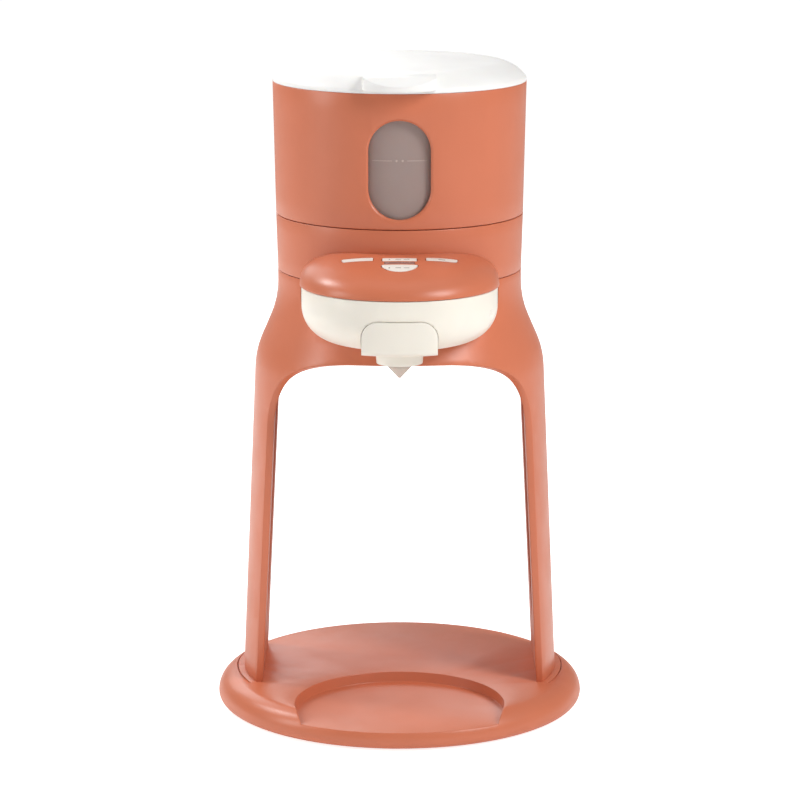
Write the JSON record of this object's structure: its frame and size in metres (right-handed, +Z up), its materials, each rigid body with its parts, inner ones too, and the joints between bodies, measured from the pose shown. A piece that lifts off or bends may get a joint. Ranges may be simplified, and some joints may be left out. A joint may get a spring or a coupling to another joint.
{
  "type": "formula dispenser",
  "caption": "Countertop formula dispenser: round base, leg frame, powder drawer and spout in front, control buttons, and a lift-out water tank with a hinged lid on top.",
  "frame": {"origin": "centre of the round base on the ground plane", "axes": "+Z up, -Y towards the user and the spout, +X to the right seen from the front"},
  "size_m": [0.175, 0.175, 0.3083],
  "materials": {
    "terracotta_shell": "satin moulded plastic",
    "terracotta_liner": "satin moulded plastic",
    "warm_white": "satin gloss moulded plastic",
    "lid_white": "satin gloss moulded plastic",
    "button_white": "satin moulded plastic",
    "smoke_tank": "translucent moulded plastic",
    "beige_silicone": "soft silicone",
    "clear_silicone": "soft silicone hose",
    "black_rubber": "soft rubber",
    "grey_plastic": "moulded plastic",
    "natural_plastic": "moulded plastic",
    "steel": "plated steel",
    "cast_aluminium": "cast",
    "copper_coil": "varnished winding",
    "circuit_board": "solder mask",
    "components": "moulded plastic",
    "lamp_window": "translucent moulded plastic"
  },
  "bodies": {
    "dispenser": {"ballast_plate": "steel", "base_plate": "grey_plastic", "base_screws": "steel", "base_shell": "terracotta_shell", "board_components": "components", "body_floor": "terracotta_liner", "button_board": "circuit_board", "chassis": "grey_plastic", "chassis_screws": "steel", "control_panel": "terracotta_shell", "cord_grommet": "black_rubber", "drawer_guide": "grey_plastic", "floor_screws": "steel", "flow_meter_body": "natural_plastic", "flow_meter_cover": "natural_plastic", "heater_block": "cast_aluminium", "heater_hose": "clear_silicone", "indicator_strip": "lamp_window", "left_leg_liner": "terracotta_liner", "leg_frame": "terracotta_shell", "leg_screws": "steel", "mains_cord": "black_rubber", "outlet_hose": "clear_silicone", "panel_screws": "steel", "power_board": "circuit_board", "pump_body": "grey_plastic", "pump_bracket": "steel", "pump_coil": "copper_coil", "pump_hose": "clear_silicone", "pump_housing": "terracotta_shell", "pump_mounts": "black_rubber", "right_leg_liner": "terracotta_liner", "rubber_feet": "black_rubber", "spray_plate": "natural_plastic", "suction_hose": "clear_silicone", "tact_switches": "components", "tank_housing": "terracotta_shell", "tank_socket": "grey_plastic", "thermostats": "steel", "wiring": "components"},
    "tank": {"water_tank": "smoke_tank", "tank_filter": "natural_plastic", "tank_valve_spring": "steel", "lid_hinge_pin": "steel"},
    "tank_valve": {"tank_valve": "natural_plastic", "tank_valve_seal": "clear_silicone"},
    "lid": {"lid": "lid_white", "lid_collar": "lid_white", "lid_seal": "clear_silicone"},
    "button_left": {"button_left": "button_white"},
    "button_centre": {"button_centre": "button_white"},
    "button_right": {"button_right": "button_white"},
    "button_front": {"button_front": "button_white"},
    "drawer": {"powder_drawer": "warm_white"},
    "spout": {"spout_block": "warm_white", "spout_seal": "clear_silicone", "duckbill_nozzle": "beige_silicone"},
    "piston": {"pump_piston": "steel"},
    "flow_rotor": {"flow_meter_rotor": "grey_plastic"}
  },
  "joints": [
    {"name": "tank_lift", "type": "slide", "parent": "dispenser", "child": "tank", "axis": [0, 0, 1], "range_m": [0, 0.12]},
    {"name": "lid_hinge", "type": "hinge", "parent": "tank", "child": "lid", "pos_m": [0, 0.072, 0.3016], "axis": [-1, 0, 0], "range_deg": [0, 100]},
    {"name": "valve_travel", "type": "slide", "parent": "tank", "child": "tank_valve", "axis": [0, 0, 1], "range_m": [0, 0.003], "deforming": ["tank_valve_spring"]},
    {"name": "drawer_slide", "type": "slide", "parent": "dispenser", "child": "drawer", "axis": [0, -1, 0], "range_m": [0, 0.085]},
    {"name": "spout_slide", "type": "slide", "parent": "drawer", "child": "spout", "axis": [0, -1, 0], "range_m": [0, 0.03]},
    {"name": "pump_stroke", "type": "slide", "parent": "dispenser", "child": "piston", "axis": [1, 0, 0], "range_m": [-0.003, 0.003]},
    {"name": "flow_rotor_spin", "type": "hinge", "parent": "dispenser", "child": "flow_rotor", "pos_m": [-0.028, 0.014, 0.218], "axis": [0, 0, 1], "continuous": true},
    {"name": "button_left_press", "type": "slide", "parent": "dispenser", "child": "button_left", "axis": [0, 0, -1], "range_m": [0, 0.0008]},
    {"name": "button_centre_press", "type": "slide", "parent": "dispenser", "child": "button_centre", "axis": [0, 0, -1], "range_m": [0, 0.0008]},
    {"name": "button_right_press", "type": "slide", "parent": "dispenser", "child": "button_right", "axis": [0, 0, -1], "range_m": [0, 0.0008]},
    {"name": "button_front_press", "type": "slide", "parent": "dispenser", "child": "button_front", "axis": [0, 0, -1], "range_m": [0, 0.0008]}
  ]
}
